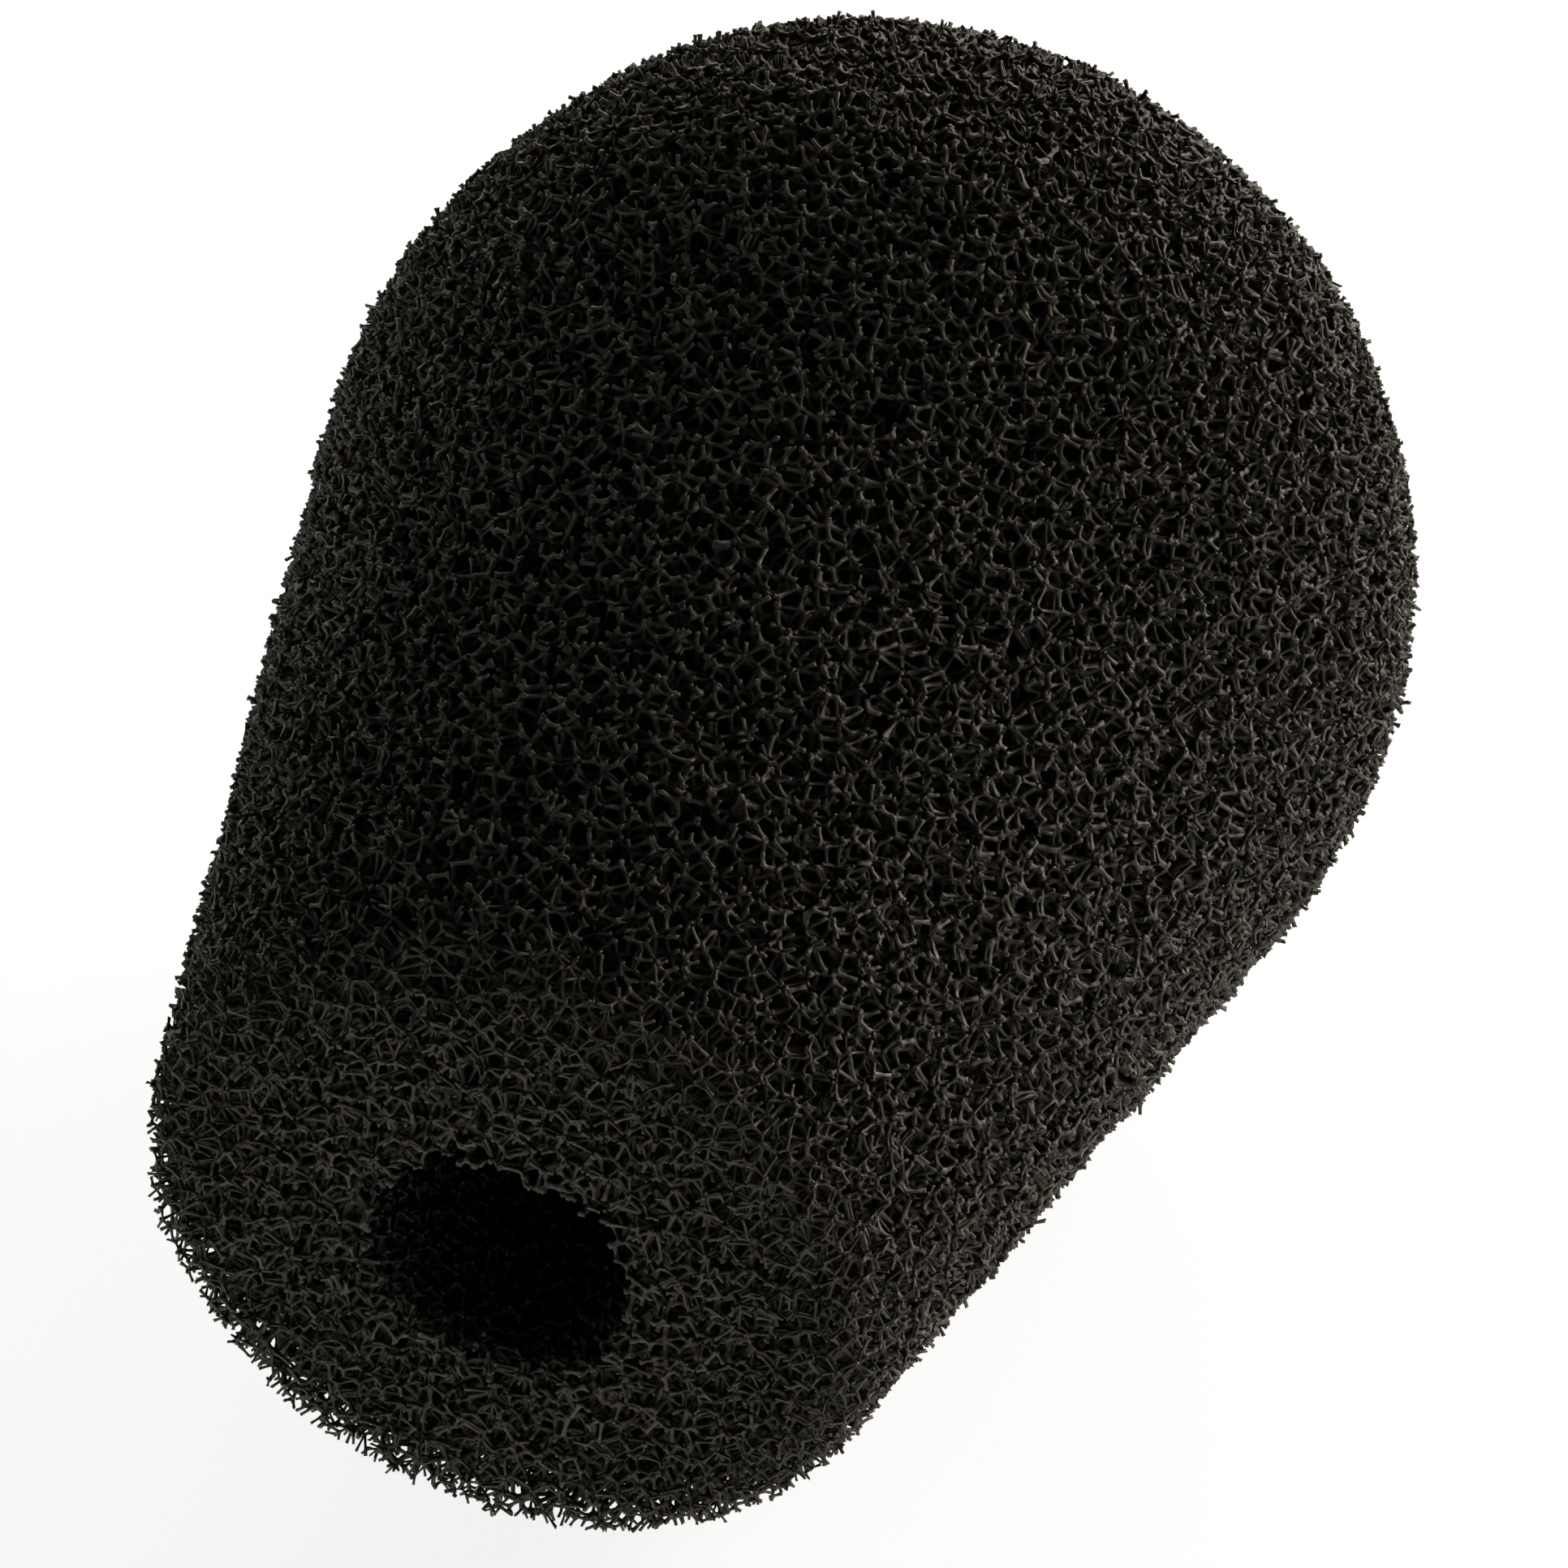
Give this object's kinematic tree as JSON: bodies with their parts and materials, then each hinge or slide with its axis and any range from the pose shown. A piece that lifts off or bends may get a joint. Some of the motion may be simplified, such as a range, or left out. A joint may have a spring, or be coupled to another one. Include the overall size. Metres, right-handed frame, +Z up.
{
  "type": "foam microphone windscreen",
  "caption": "Ball-shaped open-cell foam windscreen for a small microphone, tapering to a flat round base with a blind bore, lying on its taper.",
  "frame": {"origin": "under the middle of the windscreen's box, on the surface that it lies on", "axes": "+Z up; the bore's mouth faces -Y and the ball is towards +Y; the bore climbs 11.4 degrees from the mouth, because the windscreen lies on its taper; X is across it, and the YZ plane is its plane of symmetry"},
  "size_m": [0.034, 0.0498, 0.0339],
  "materials": {
    "foam": "matte open-cell foam"
  },
  "bodies": {
    "root": {"foam_windscreen": "foam"}
  },
  "joints": []
}
